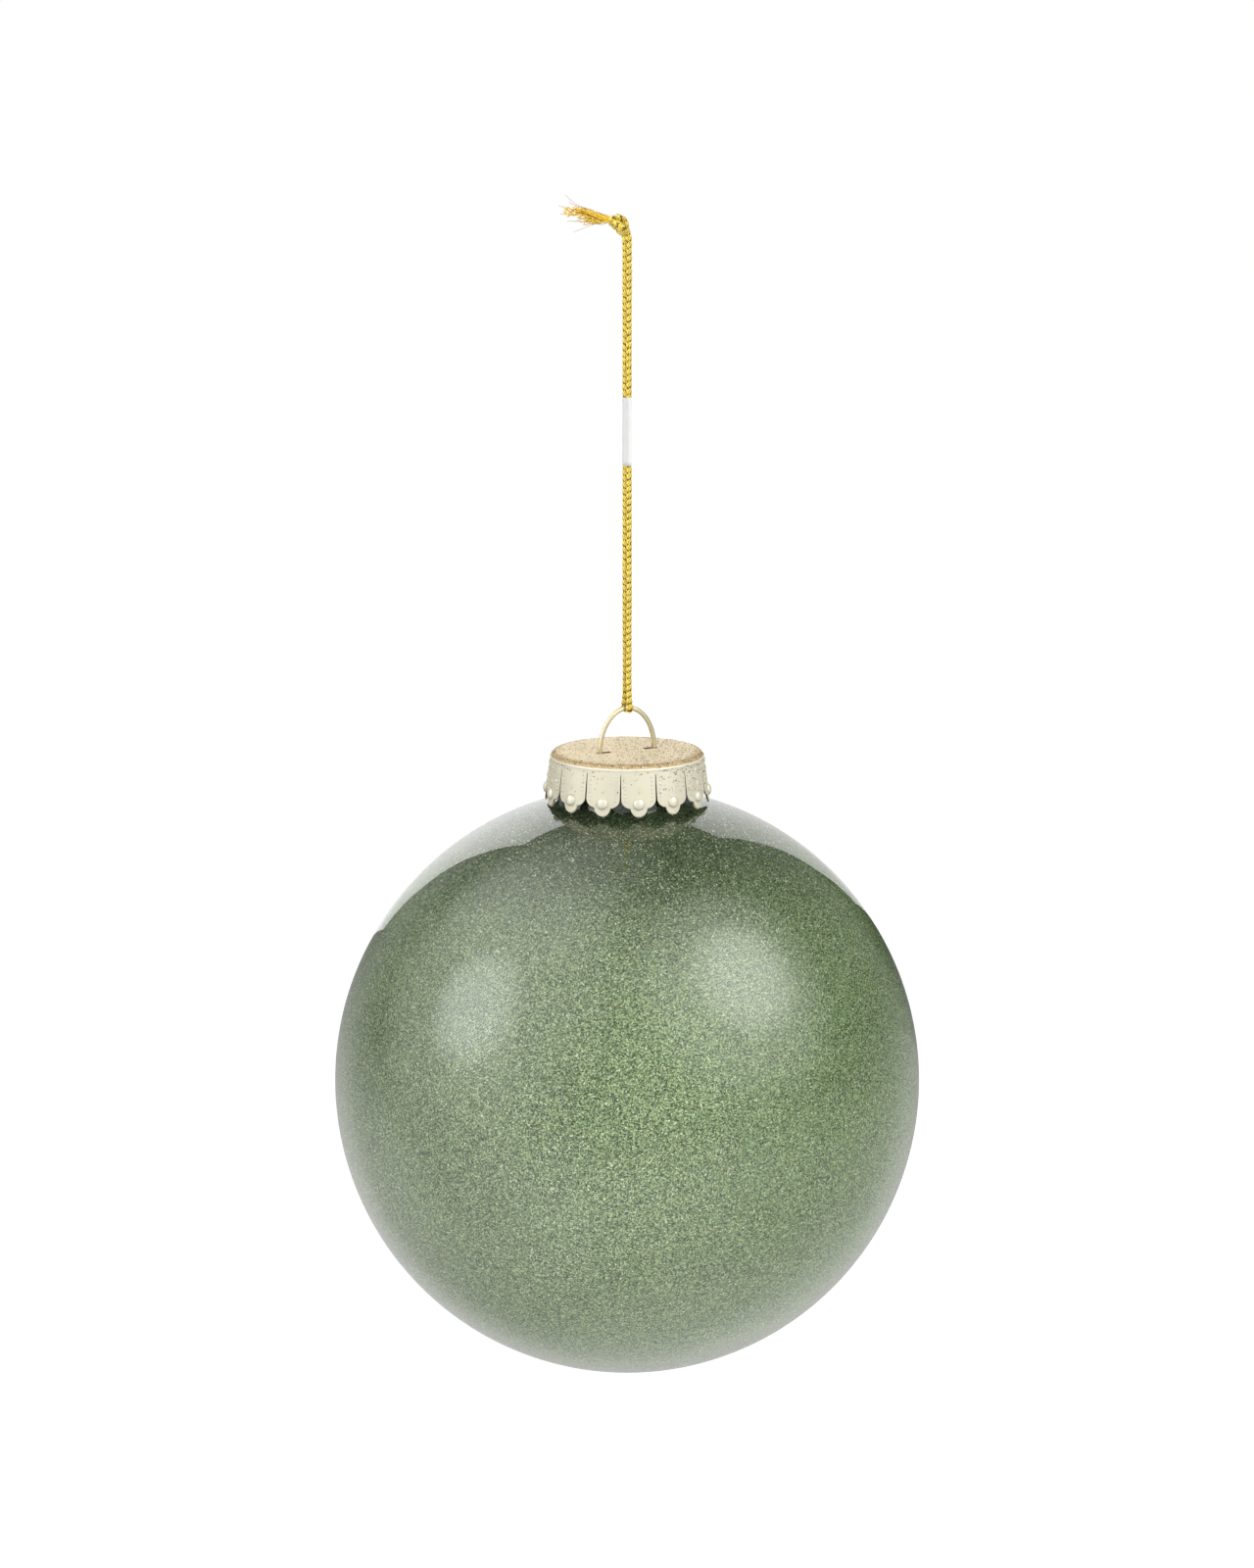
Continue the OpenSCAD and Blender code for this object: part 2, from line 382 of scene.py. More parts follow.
def leanIn(bm, lean):
    # both runs lean into the knot
    low, high, far = (value * mm for value in lean)
    for vert in bm.verts:
        share = min(1, max(0, (vert.co.z - low) / (high - low)))
        vert.co += viewTurn @ Vector((-far * share ** 2, 0, 0))


def makeCord(spec):
    route = smoothRoute([Vector(point) * mm for point in spec["route"]], 0.1 * mm)
    toCamera = viewTurn @ Vector((0, -1, 0))
    bm = knitMesh(knitPlaces(stationsOf(route, toCamera, carried=False), spec, spec["faceTurn"]))
    # a dark core tube under the stitches, painted shade between them
    addMesh(bm, tubeMesh([route[::5] + route[-1:]], [spec["core"] * mm]), 1)
    drawTight(bm, spec["bight"], spec["spread"])
    leanIn(bm, spec["lean"])
    cord = addPiece("cordLoop", bm, [goldMaterial, shadeMaterial], "cord", "gold_cord", "cord_loop")
    return cord, route


cord, cordPath = makeCord(cordLoop)

# the overhand knot: mm to the right, away and up in the photo's view
cordKnot = {
    "apart": 0.35, "turns": (-45, 20),
    "route": [
        (0.0, 0.0, -0.6), (-0.15, 0.0, 0.4), (-0.42, 0.15, 1.4), (-0.6, 0.25, 2.25), (-1.05, -0.05, 2.8),
        (-1.75, -0.3, 2.85), (-2.3, 0.1, 2.5), (-2.0, 0.7, 2.0), (-1.45, 0.9, 1.45), (-0.95, 0.55, 1.0),
        (-0.6, -0.35, 1.05), (-0.75, -0.9, 1.5), (-1.35, -0.8, 2.0), (-2.05, -0.25, 2.45), (-2.9, 0.0, 2.8),
    ],
}


def makeKnot(spec):
    route = viewRoute(spec["route"], 0.1)
    stations = stationsOf(route, viewTurn @ Vector((1, 0, 0)))
    strands = []
    places = []
    for hand in (-1, 1):
        strand = [place + side * hand * spec["apart"] * mm for _, place, ahead, side in stations]
        strands.append(strand[:-9:4])  # the core ends short of the frayed ends
        places += knitPlaces(stationsOf(strand, viewTurn @ Vector((0, -1, 0))), cordLoop, spec["turns"])
    bm = knitMesh(places)
    # a dark core tube under the stitches, painted shade between them
    addMesh(bm, tubeMesh(strands, [cordLoop["core"] * mm] * 2), 1)
    return addPiece("cordKnot", bm, [goldMaterial, shadeMaterial], "cord", "gold_cord", "cord_knot")


knot = makeKnot(cordKnot)

# the frayed ends: gold strands in three bundles, and a few pale filaments that reach further
cordTails = {
    "seed": 7, "strands": 44, "strand": (0.10, 0.17), "curl": 0.55, "crimp": (0.13, 1.05), "filament": 0.05,
    "cut": (0.5, 1.0), "twist": 0.5, "taper": 0.4,  # share of the length kept, turn per mm, thinner end
    "open": (0.5, 1.2),  # how far a strand stands out at its root, and more towards its end
    # bright and deep tone, metal and roughness
    "tinsel": ((0.80, 0.55, 0.07), (0.50, 0.31, 0.02), 0.65, 0.32),
    "pale": ((0.66, 0.56, 0.42), (0.48, 0.38, 0.26), 0.1, 0.5),
    "bundles": [
        [(-2.5, 0.0, 2.85), (-5.0, -0.1, 3.45), (-7.4, 0.1, 4.1), (-10.5, 0.2, 4.3)],
        [(-2.5, 0.0, 2.75), (-5.0, 0.1, 3.0), (-7.2, 0.0, 3.6), (-10.1, -0.2, 4.0)],
        [(-2.5, 0.1, 2.6), (-4.4, 0.0, 2.5), (-6.2, 0.2, 2.65), (-8.6, 0.4, 2.95)],
    ],
    "filaments": [
        [(-2.8, 0.0, 3.3), (-5.4, -0.3, 4.2), (-8.2, -0.2, 5.2), (-10.0, 0.1, 6.7)],
        [(-3.0, 0.0, 3.2), (-6.0, 0.3, 4.3), (-8.6, 0.2, 5.1), (-9.4, 0.3, 5.6)],
        [(-3.0, 0.0, 3.0), (-6.6, 0.2, 3.9), (-9.3, 0.0, 4.5), (-11.1, -0.2, 5.0)],
        [(-3.0, 0.1, 2.9), (-6.4, -0.3, 3.3), (-9.0, -0.3, 3.6), (-10.8, -0.1, 3.6)],
        [(-2.9, 0.1, 2.6), (-5.2, 0.4, 2.4), (-7.6, 0.6, 2.5), (-9.7, 0.5, 2.5)],
        [(-2.9, 0.0, 2.4), (-5.0, -0.3, 2.1), (-6.6, -0.4, 1.6), (-8.6, -0.6, 0.8)],
        [(-2.8, 0.0, 2.4), (-4.0, 0.2, 2.0), (-5.6, 0.5, 2.1), (-7.2, 0.6, 1.9)],
    ],
}


def makeTails(spec):
    draw = random.Random(spec["seed"])
    crimp, wave = (value * mm for value in spec["crimp"])
    near, wider = spec["open"]
    strands, sizes = [], []
    for k in range(spec["strands"]):
        route = viewRoute(spec["bundles"][k % 3], 0.15)
        route = route[:round(len(route) * draw.uniform(*spec["cut"]))]
        phase = draw.uniform(0, 2 * pi)
        turns = draw.uniform(-spec["twist"], spec["twist"])
        spread = draw.uniform(0.1, 1.0) * spec["curl"] * mm
        curled = []
        for i, (gone, place, ahead, side) in enumerate(stationsOf(route, Vector((0, 0, 1)))):
            share = i / (len(route) - 1)
            angle = phase + turns * gone / mm
            out = side * cos(angle) + ahead.cross(side) * sin(angle)
            kink = crimp * share * sin(2 * pi * gone / wave + 3 * phase)
            curled.append(place + out * spread * (near + wider * share) + side * kink)
        strands.append(curled)
        thick = draw.uniform(*spec["strand"]) * mm
        sizes.append(lambda share, thick=thick: thick * (1.0 - spec["taper"] * share))
    bm = bmesh.new()
    addMesh(bm, tubeMesh(strands, sizes, 1), 0)
    pale = [viewRoute(route, 0.3) for route in spec["filaments"]]
    addMesh(bm, tubeMesh(pale, [spec["filament"] * mm] * len(pale), 1), 1)
    return addPiece("cordTails", bm, [tinselMaterial, paleMaterial], "cord", "gold_cord", "cord_tails")


tinselMaterial = threadMaterial("goldTinsel", *cordTails["tinsel"])
paleMaterial = threadMaterial("paleFilament", *cordTails["pale"])
tails = makeTails(cordTails)

# the paper band: a strip wrapped round both runs, its end lapped over at the back
paperBand = {
    "height": 11.2, "top": 25.8, "thick": 0.06, "reach": 0.372, "inner": 0.385,
    "turn": -53.7, "lap": 0.7, "lapLift": 1.3, "lapRise": (0.2, 2), "wobble": 0.02, "seed": 3,
    "colour": (0.94, 0.94, 0.93), "dim": 0.93, "fibre": 4200.0, "cloud": 500.0,
    "play": 0.02, "ease": (0.1, 0.25),  # the knit's room in the band, and how it widens past the ends
}


def paperMaterial(spec):
    material, tree = newMaterial("whitePaper")
    place = placeNode(tree)
    dim = tuple(value * spec["dim"] for value in spec["colour"])
    tone = mixColour(tree, noiseNode(tree, place, spec["cloud"], 2.0), dim, spec["colour"])
    relief = bumpNode(tree, noiseNode(tree, place, spec["fibre"], 4.0, 0.65), 0.35, 0.00002)
    finishPrincipled(tree, Base_Color=tone, Roughness=0.85, Normal=relief)
    return material


def makeBand(spec):
    draw = random.Random(spec["seed"])
    bm = bmesh.new()
    bmesh.ops.create_grid(bm, x_segments=72, y_segments=14, size=0.5)
    reach, inner = spec["reach"], spec["inner"]
    straight, bow = 2 * reach, pi * inner
    whole = 2 * straight + 2 * bow
    lapLift = spec["thick"] * spec["lapLift"]
    first, rise = spec["lapRise"]
    turn = turnZ(spec["turn"])
    rows = {}
    for vert in bm.verts:
        share, level = vert.co.x + 0.5, vert.co.y + 0.5
        gone = share * (whole + spec["lap"])
        lift = max(0.0, (gone - whole) / spec["lap"] * rise + first)
        r = inner + lapLift * min(lift, 1.0)
        half, g = divmod(gone % whole, straight + bow)
        flat = Vector((g - reach, r, 0))
        if g > straight:
            flat = polar(r, pi / 2 - (g - straight) / inner) + Vector((reach, 0, 0))
        flat = flat * (1 - 2 * half)  # the other half is the same, turned about
        key = round(level, 3)
        rows.setdefault(key, 1 + draw.uniform(-1, 1) * spec["wobble"])
        flat = turn @ (flat * rows[key])
        vert.co = Vector((flat.x, flat.y, -spec["top"] - spec["height"] * (1 - level))) * mm
    bmesh.ops.recalc_face_normals(bm, faces=bm.faces[:])
    band = addPiece("paperBand", bm, [paperMaterial(spec)], "cord", "white_paper", "paper_band")
    wall = band.modifiers.new("thickness", "SOLIDIFY")
    wall.thickness = spec["thick"] * mm
    wall.offset = 1.0
    return band


def pressCord(obj, spec):
    # the band holds both runs together, so the knit stays inside it
    back = turnZ(-spec["turn"])
    reach, limit = spec["reach"] * mm, (spec["inner"] - spec["play"]) * mm
    start, slope = spec["ease"]
    high, low = -spec["top"] * mm, -(spec["top"] + spec["height"]) * mm
    for vert in obj.data.vertices:
        beyond = max(vert.co.z - high, low - vert.co.z, 0.0)
        room = limit + max(0.0, beyond - start * mm) * slope
        flat = back @ vert.co
        core = Vector((min(reach, max(-reach, flat.x)), 0, flat.z))
        if (flat - core).length > room:
            vert.co = back.transposed() @ (core + (flat - core).normalized() * room)


band = makeBand(paperBand)
pressCord(cord, paperBand)

# glass ball: the blown shell with its neck

ballLow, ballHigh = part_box("glass_ball")
ballRadius = (ballHigh.x - ballLow.x) / 2
ballCentre = Vector((0, 0, ballLow.z + ballRadius))
glassBall = {
    "wall": 1.0, "neckRadius": 11.7, "fillet": 1.2, "steps": 192,
    "glass": (0.97, 0.985, 0.97), "ior": 1.5, "flow": 40.0,
}


def arcPoints(centre, radius, start, end, count):
    # points on an arc in the XZ plane, angles in radians from +X
    angles = [start + (end - start) * i / count for i in range(count + 1)]
    return [Vector((centre[0] + radius * cos(a), 0, centre[1] + radius * sin(a))) for a in angles]


def spinProfile(bm, points, steps):
    # a profile in the XZ plane turned into a closed form round Z
    verts = [bm.verts.new(point) for point in points]
    edges = [bm.edges.new(pair) for pair in zip(verts, verts[1:])]
    bmesh.ops.spin(
        bm, geom=verts + edges, cent=(0, 0, 0), axis=(0, 0, 1), angle=2 * pi, steps=steps,
        use_merge=True,
    )
    bmesh.ops.remove_doubles(bm, verts=bm.verts[:], dist=1e-6)
    bmesh.ops.recalc_face_normals(bm, faces=bm.faces[:])


def glassMaterial(spec):
    material, tree = newMaterial("clearGlass")
    flow = noiseNode(tree, placeNode(tree), spec["flow"], 1.0)
    glass = addNode(
        tree, "BsdfPrincipled", Base_Color=(*spec["glass"], 1), Roughness=0.0, IOR=spec["ior"],
        Transmission_Weight=1.0, Normal=bumpNode(tree, flow, 0.02, 0.001),
    )
    clear = addNode(tree, "BsdfTransparent", Color=(*spec["glass"], 1))
    inShadow = addNode(tree, "LightPath").outputs["Is Shadow Ray"]
    shader = addNode(tree, "MixShader", in0=inShadow, in1=glass.outputs[0], in2=clear.outputs[0])
    finishMaterial(tree, shader.outputs[0])
    return material


def innerMaterial():
    # the inner wall, wetted by the varnish that holds the glitter, bends no light
    material, tree = newMaterial("varnishedWall")
    finishMaterial(tree, addNode(tree, "BsdfTransparent").outputs[0])
    return material


def makeGlass(spec):
    wall, neck, fillet = (spec[key] * mm for key in ("wall", "neckRadius", "fillet"))
    base = ballCentre.z
    reach = ballRadius + fillet
    filletX = neck + fillet
    filletZ = sqrt(reach ** 2 - filletX ** 2)
    touch = atan2(filletZ, filletX)
    inner = ballRadius - wall
    bore = neck - wall
    mouth = acos(bore / inner)
    rim = ballHigh.z - wall / 2
    points = arcPoints((0, base), ballRadius, -pi / 2, touch, 96)
    points += arcPoints((filletX, base + filletZ), fillet, touch - pi, -pi, 6)[1:]
    points += arcPoints((neck - wall / 2, rim), wall / 2, 0, pi, 8)
    points += arcPoints((0, base), inner, mouth, -pi / 2, 96)
    bm = bmesh.new()
    spinProfile(bm, points, spec["steps"])
    for face in bm.faces:
        middle = face.calc_center_median() - ballCentre
        face.material_index = int(middle.length < inner + wall / 4)
    walls = [glassMaterial(spec), innerMaterial()]
    addPiece("glassBall", bm, walls, "ball", "clear_glass", "glass_ball")


makeGlass(glassBall)

# glitter: a full layer stuck to the inside of the glass, with loose flakes standing out of it

glitter = {
    "outer": 48.8, "inner": 48.6, "mouth": 11.0, "steps": 160,
    "collar": (10.6, 10.4, 5.4),  # glitter in the neck: outer and inner radius, height over the ball
    "flakes": 26000, "flakeSize": (0.08, 0.15), "flakeAt": (48.83, 48.9), "tilt": 14, "seed": 11,
    # sparkles: pale flakes towards the neck, painted glints
    "sparkles": 5000, "sparkleFrom": 0.45, "sparkleSize": (0.08, 0.15), "sparkleDraw": (0.935, 0.993),
    "fine": 6100.0, "coarse": 4200.0, "over": (0.45, 0.48), "patch": 70.0, "patchy": 0.05,
    "lean": 0.55, "metal": 0.5, "roughness": 0.42, "film": 0.1, "room": 0.3,
    "tones": [
        (0.0, (0.014, 0.026, 0.012)), (0.12, (0.046, 0.074, 0.030)), (0.26, (0.090, 0.142, 0.054)),
        (0.42, (0.160, 0.228, 0.096)), (0.59, (0.246, 0.326, 0.158)), (0.75, (0.352, 0.440, 0.236)),
        (0.895, (0.062, 0.190, 0.130)), (0.93, (0.490, 0.570, 0.350)), (0.987, (0.740, 0.760, 0.640)),
    ],
    "neck": (-113.0, -94.0, 0.46),  # darker towards the neck: the layer thins out there, and the darkening also paints the shade under the cap; from and to height, tone left there
}


def toneGroup(spec):
    # a flake's colour and gloss from one random number
    group = bpy.data.node_groups.new("flakeTone", "ShaderNodeTree")
    group.interface.new_socket("Random", in_out="INPUT", socket_type="NodeSocketFloat")
    group.interface.new_socket("Colour", in_out="OUTPUT", socket_type="NodeSocketColor")
    group.interface.new_socket("Gloss", in_out="OUTPUT", socket_type="NodeSocketFloat")
    start = group.nodes.new("NodeGroupInput")
    end = group.nodes.new("NodeGroupOutput")
    colour = toneRamp(group, start.outputs["Random"], spec["tones"])
    wander = mathNode(group, "FRACT", mathNode(group, "MULTIPLY", start.outputs["Random"], 7.31))
    gloss = mapNode(group, wander, 0.0, 1.0, spec["roughness"] - 0.12, spec["roughness"] + 0.12)
    group.links.new(colour, end.inputs["Colour"])
    group.links.new(gloss, end.inputs["Gloss"])
    return group


flakeTone = toneGroup(glitter)


def liningMaterial(spec):
    material, tree = newMaterial("glitterLayer")
    place = placeNode(tree)
    under = addNode(tree, "TexVoronoi", Vector=place, Scale=spec["fine"])
    over = addNode(tree, "TexVoronoi", Vector=place, Scale=spec["coarse"])
    overParts = addNode(tree, "SeparateColor", Color=over.outputs["Color"])
    missing, reach = spec["over"]
    there = mathNode(tree, "GREATER_THAN", overParts.outputs[2], missing)
    shown = mathNode(tree, "MULTIPLY", there, mathNode(tree, "LESS_THAN", over.outputs["Distance"], reach))
    drawn = mixColour(tree, shown, under.outputs["Color"], over.outputs["Color"])
    parts = addNode(tree, "SeparateColor", Color=drawn)
    tone = addNode(tree, "Group", {"node_tree": flakeTone}, Random=parts.outputs[0])
    patch = noiseNode(tree, place, spec["patch"], 2.0)
    shade = mapNode(tree, patch, 0.3, 0.7, 1 - spec["patchy"], 1 + spec["patchy"])
    start, end, left = spec["neck"]
    high = addNode(tree, "SeparateXYZ", Vector=place).outputs["Z"]
    # painted shade: the tone darkens towards the neck, partly for the thinner layer and partly as the shade
    # under the cap
    neckShade = mapNode(tree, high, start * mm, end * mm, 1.0, left, smooth=True)
    shade = mathNode(tree, "MULTIPLY", shade, neckShade)
    colour = vectorNode(tree, "SCALE", tone.outputs["Colour"], Scale=shade)
    # each flake leans its own way
    lean = vectorNode(tree, "SUBTRACT", drawn, in1=(0.5, 0.5, 0.5))
    lean = vectorNode(tree, "SCALE", lean, Scale=spec["lean"])
    normal = addNode(tree, "NewGeometry").outputs["Normal"]
    normal = vectorNode(tree, "NORMALIZE", vectorNode(tree, "ADD", normal, in1=lean))
    finishPrincipled(
        tree, Base_Color=colour, Roughness=tone.outputs["Gloss"], Metallic=spec["metal"],
        Specular_IOR_Level=spec["film"], Normal=normal,
    )
    return material


def drawNode(tree):
    # the random number that a loose flake carries
    return addNode(tree, "Attribute", {"attribute_name": "flakeDraw"}).outputs["Fac"]


def flakeMaterial(spec):
    material, tree = newMaterial("looseFlake")
    tone = addNode(tree, "Group", {"node_tree": flakeTone}, Random=drawNode(tree))
    finishPrincipled(
        tree, Base_Color=tone.outputs["Colour"], Roughness=tone.outputs["Gloss"],
        Metallic=spec["metal"], Specular_IOR_Level=spec["film"],
    )
    return material


def makeLining(spec):
    outer, inner, mouth = (spec[key] * mm for key in ("outer", "inner", "mouth"))
    collarOut, collarIn, collarTop = (value * mm for value in spec["collar"])
    top = ballCentre.z + ballRadius + collarTop
    points = arcPoints((0, ballCentre.z), outer, -pi / 2, acos(mouth / outer), 96)
    points += [Vector((collarOut, 0, top)), Vector((collarIn, 0, top))]
    points += arcPoints((0, ballCentre.z), inner, acos(mouth / inner), -pi / 2, 64)
    bm = bmesh.new()
    spinProfile(bm, points, spec["steps"])
    addPiece("glitterLining", bm, [liningMaterial(spec)], "ball", "green_glitter", "glitter_lining")


def flakeMesh(places, draws):
    # six-sided flakes, each with its own random number
    flake = bmesh.new()
    bmesh.ops.create_circle(flake, cap_ends=True, segments=6, radius=1.0)
    bm = copyForms(flake, places)
    layer = bm.faces.layers.float.new("flakeDraw")
    for face, value in zip(bm.faces, draws):
        face[layer] = value
    return bm


def flakePlace(draw, centre, out, size, tilt):
    lean = Vector((draw.gauss(0, 1), draw.gauss(0, 1), draw.gauss(0, 1)))
    lean = lean * tan(radians(tilt)) * 0.6
    turn = (out + lean).to_track_quat("Z", "Y").to_matrix()
    turn = turn @ Matrix.Rotation(draw.uniform(0, pi), 3, "Z")
    return Matrix.Translation(centre) @ turn.to_4x4() @ Matrix.Scale(draw.uniform(*size) * mm, 4)


def layerFlake(draw, spec, height, size):
    # one flake on the inside of the glass, or none where the neck opens
    angle = draw.uniform(0, 2 * pi)
    flat = sqrt(1 - height ** 2)
    if height >= 0 and flat * spec["outer"] <= spec["mouth"] + spec["room"]:
        return []
    out = polar(flat, angle, height)
    centre = ballCentre + out * draw.uniform(*spec["flakeAt"]) * mm
    return [flakePlace(draw, centre, out, size, spec["tilt"])]


def makeFlakes(spec):
    draw = random.Random(spec["seed"])
    places = []
    while len(places) < spec["flakes"]:
        places += layerFlake(draw, spec, draw.uniform(-1, 1), spec["flakeSize"])
    draws = [draw.random() for _ in places]
    # mostly dark ones and light ones
    draws = [0.5 * value if value < 0.5 else 0.5 + 0.5 * value for value in draws]
    # pale flakes gathered towards the neck, painted glints
    while len(draws) < spec["flakes"] + spec["sparkles"]:
        height = draw.triangular(spec["sparkleFrom"], 1.0, 1.0)
        places += layerFlake(draw, spec, height, spec["sparkleSize"])
        if len(places) > len(draws):
            draws.append(draw.uniform(*spec["sparkleDraw"]))
    bm = flakeMesh(places, draws)
    flakes = addPiece("glitterFlakes", bm, [flakeMaterial(spec)], "ball", "green_glitter")
    flakes.data.shade_flat()


makeLining(glitter)
makeFlakes(glitter)

# cap: stamped sheet with petals, pearls, dots and leaves

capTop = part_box("cap")[1].z / mm
capShell = {
    "topRadius": 11.9, "edge": 1.0, "flare": 7.0, "sheet": 0.35, "petals": 14, "turn": 19.4, "columns": 20,
    "slitTop": 1.35, "slit": 0.25, "shoulder": 5.6, "corner": 1.4, "lobeAt": 7.0, "lobe": 1.4,
    "rows": (12, 7, 11),  # along a petal's straight side, its corner and its lobe
    "cushion": 0.1, "lip": (0.05, 0.95, 0.035),  # a lip's height, its place across and its width
    "slots": (3.12, 5.68, 0.52),  # inner end, outer end and half width
    "front": (0.71, 0.69, 0.565), "frontDeep": (0.65, 0.62, 0.48),
    "top": (0.82, 0.74, 0.56), "topDeep": (0.71, 0.61, 0.41), "rim": (0.68, 0.55, 0.34),
    # cut: near-black tone of the sheet's cut edges, painted shade in the slits
    # fold: paler tone of the raised fold, a painted highlight
    "rimDeep": (0.50, 0.36, 0.17), "cut": (0.07, 0.048, 0.022), "fold": (0.86, 0.85, 0.76),
    "ridge": (0.62, 0.06, 0.34),  # raised fold over the petals, in a paler tone that is a painted highlight: depth, height and width
    "metal": 0.26, "film": 0.2, "roughness": 0.55, "slant": (0.62, 0.42, 0.16),
}
capBeads = {
    "pearlAt": 6.4, "pearl": (1.0, 1.0, 0.56), "dot": (0.2, 0.2, 0.12), "leaf": (0.17, 0.5, 0.16),
    "dotColumns": (-0.74, 0.74), "dotRows": (1.9, 2.55, 3.2, 3.85, 4.5, 5.15, 5.8),
    "leaves": ((2.0, -0.04, 16), (4.2, 0.05, 16)),  # depth, share across, lean
    "roughness": 0.4,
}
capSpecks = {
    "seed": 5, "top": 2700, "skirt": 500, "rim": 1100, "size": (0.045, 0.125), "tilt": 22, "lift": 0.02,
    "topShare": (0.25, 0.25, 0.5),  # everywhere, more on the right, more along the front rim
    "rightFrom": -2, "frontRim": 11.2, "slotRoom": (0.3, 0.2), "slitRoom": (1.2, 0.05),  # kept clear
    "skirtShare": (0.25, 0.75), "skirtTurn": 10,  # everywhere, more round this angle from the right
    "skirtDepth": (0.9, 5.2, 1.5), "rimTurn": (15, 95, 60),  # from, reach, power; angles round the edge
    "tones": [
        (0.0, (0.045, 0.03, 0.014)), (0.2, (0.16, 0.11, 0.045)), (0.45, (0.10, 0.11, 0.04)),
        (0.52, (0.30, 0.21, 0.095)), (0.8, (0.48, 0.35, 0.16)), (0.93, (0.85, 0.78, 0.55)),
    ],
}


def skirtRadius(depth):
    lean = radians(capShell["flare"])
    start = capShell["edge"] * (1 - sin(lean))
    return capShell["topRadius"] + capShell["edge"] * cos(lean) + (depth - start) * tan(lean)


def onSkirt(depth, angle, lift=0.0):
    # a place on the skirt's outer face and the direction out of it; angle from the +X side, mm
    lean = radians(capShell["flare"])
    out = polar(cos(lean), angle, sin(lean))
    return polar(skirtRadius(depth), angle, capTop - depth) + out * lift, out


def petalSwell(depth, across):
    # a petal is cushioned a little, with a fine lip along its sides
    start = min(1, max(0, depth - capShell["slitTop"]) / 2)
    high, place, wide = capShell["lip"]
    lip = exp(-((abs(across) - place) / wide) ** 2)
    return start * (capShell["cushion"] * (1 - across ** 2) + high * lip)


def petalRows(spec):
    # depth and half width of a petal, row by row: straight sides, round corners, a lobe
    half = pi / spec["petals"]
    sideRows, cornerRows, lobeRows = spec["rows"]
    rows = []
    for i in range(sideRows + 1):
        share = i / sideRows
        depth = spec["slitTop"] + (spec["shoulder"] - spec["slitTop"]) * share
        rows.append((depth, half * skirtRadius(depth) - spec["slit"] / 2 * sqrt(share)))
    waist = rows[-1][1] - spec["corner"]
    for i in range(1, cornerRows + 1):
        turn = pi / 2 * i / cornerRows
        depth = spec["shoulder"] + spec["corner"] * sin(turn)
        rows.append((depth, waist + spec["corner"] * cos(turn)))
    for i in range(1, lobeRows + 1):
        turn = pi / 2 * i / (lobeRows + 0.4)  # stops short of a point
        rows.append((spec["lobeAt"] + spec["lobe"] * sin(turn), spec["lobe"] * cos(turn)))
    return rows


def metalMaterial(name, light, deep, spec, size=260.0, dent=1500.0):
    material, tree = newMaterial(name)
    place = placeNode(tree)
    cloud = noiseNode(tree, place, size, 3.0)
    tone = mixColour(tree, cloud, deep, light)
    gloss = mapNode(tree, cloud, 0.0, 1.0, spec["roughness"] - 0.08, spec["roughness"] + 0.1)
    dents = bumpNode(tree, noiseNode(tree, place, dent, 2.0), 0.12, 0.0001)
    finishPrincipled(
        tree, Base_Color=tone, Roughness=gloss, Metallic=spec["metal"], Specular_IOR_Level=spec["film"],
        Specular_Tint=(*spec["slant"], 1), Normal=dents,
    )
    return material


